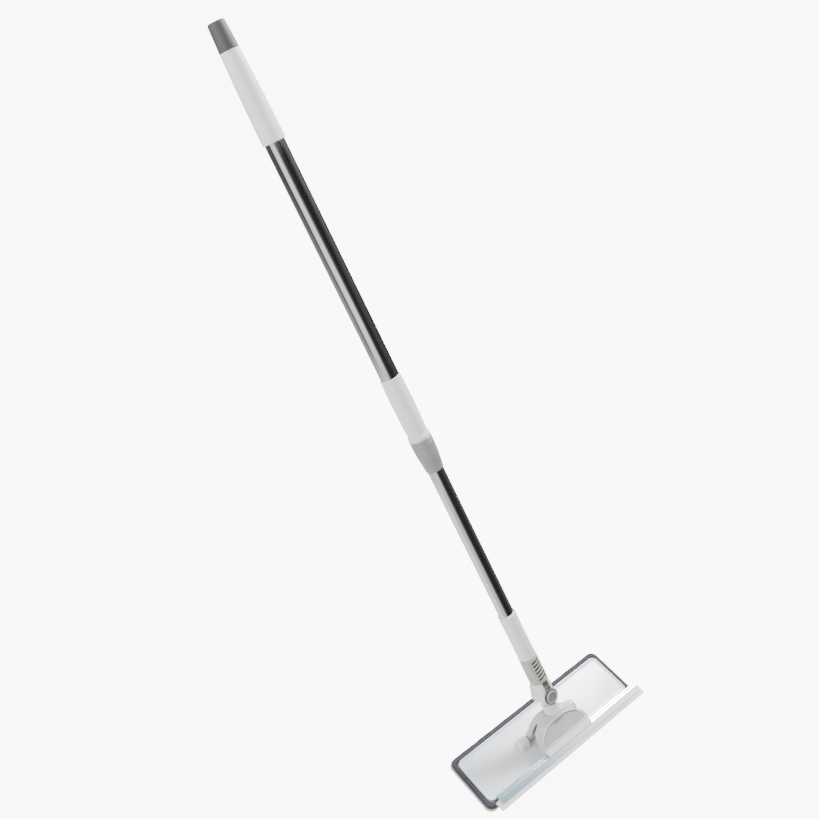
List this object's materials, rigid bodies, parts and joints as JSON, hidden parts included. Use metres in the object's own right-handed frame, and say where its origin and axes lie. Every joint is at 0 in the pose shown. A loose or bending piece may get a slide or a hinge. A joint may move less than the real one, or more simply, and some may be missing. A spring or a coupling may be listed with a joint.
{
  "type": "window squeegee",
  "caption": "Two-in-one window squeegee: telescopic twist-lock pole, swivelling neck, bracket with a silicone blade in a metal channel, and a hinged microfibre pad plate.",
  "frame": {"origin": "middle of the pad's working face, which lies on the glass", "axes": "+X along the pad and the blade, -Y towards the squeegee, +Z away from the glass; the pole leans back towards +Y"},
  "size_m": [0.3, 0.6149, 0.9025],
  "materials": {
    "white_plastic": "satin",
    "grey_white_plastic": "satin",
    "taupe_plastic": "satin",
    "khaki_plastic": "satin",
    "collar_grey_plastic": "satin",
    "charcoal_rubber": "matte",
    "dark_plastic": "satin",
    "button_grey_plastic": "satin",
    "polished_steel": "polished",
    "plain_steel": "bright",
    "plate_plastic": "gloss",
    "clear_silicone": "translucent, satin",
    "microfibre": "looped pile",
    "hem_fabric": "woven binding",
    "hook_strip": "hooked",
    "nylon": "moulded"
  },
  "bodies": {
    "handle": {"end_cap": "charcoal_rubber", "handle_grip": "white_plastic", "upper_tube": "polished_steel", "lock_sleeve": "white_plastic", "clamp_collet": "nylon"},
    "collar": {"twist_collar": "collar_grey_plastic"},
    "lower": {"tube_plug": "nylon", "lower_tube": "polished_steel", "lower_socket": "white_plastic", "socket_pin": "plain_steel", "coupling_ring": "khaki_plastic", "knuckle_fork": "white_plastic", "pivot_pin": "plain_steel", "pivot_cap": "white_plastic", "button_bezel": "dark_plastic", "release_spring": "plain_steel", "lock_spring": "plain_steel"},
    "latch": {"release_button": "khaki_plastic"},
    "lock": {"angle_button": "button_grey_plastic", "lock_gear": "nylon"},
    "head": {"neck_tongue": "white_plastic", "bracket": "grey_white_plastic", "panel_insert": "taupe_plastic", "jaw_bar": "white_plastic", "jaw_screw_left": "plain_steel", "jaw_screw_right": "plain_steel", "squeegee_channel": "polished_steel", "squeegee_blade": "clear_silicone"},
    "plate_swing": {"plate": "plate_plastic", "hinge_ear_left": "plate_plastic", "hinge_ear_right": "plate_plastic", "hinge_pin": "plain_steel", "pad": "microfibre", "pad_hem": "hem_fabric", "grip_strip_front": "hook_strip", "grip_strip_back": "hook_strip"}
  },
  "joints": [
    {"name": "twist_lock", "type": "hinge", "parent": "handle", "child": "collar", "pos_m": [-0.05201, 0.23735, 0.42762], "axis": [-0.1253, 0.5447, 0.8292], "range_deg": [0, 90]},
    {"name": "pole_extend", "type": "slide", "parent": "handle", "child": "lower", "axis": [0.1253, -0.5447, -0.8292], "range_m": [-0.24, 0.08]},
    {"name": "release_press", "type": "slide", "parent": "lower", "child": "latch", "axis": [0, 0.8358, -0.549], "range_m": [0, 0.005], "stiffness_N_per_m": 400, "springref_m": -0.004, "deforming": ["release_spring"]},
    {"name": "angle_press", "type": "slide", "parent": "lower", "child": "lock", "axis": [0, 0.8358, -0.549], "range_m": [0, 0.002], "stiffness_N_per_m": 800, "springref_m": -0.003, "deforming": ["lock_spring"]},
    {"name": "head_swivel", "type": "hinge", "parent": "lower", "child": "head", "pos_m": [0, 0.0113, 0.0835], "axis": [0, -0.8358, 0.549], "range_deg": [-82.8, 97.2]},
    {"name": "plate_tilt", "type": "hinge", "parent": "head", "child": "plate_swing", "pos_m": [0, 0, 0.0165], "axis": [1, 0, 0], "range_deg": [-15, 35]}
  ]
}
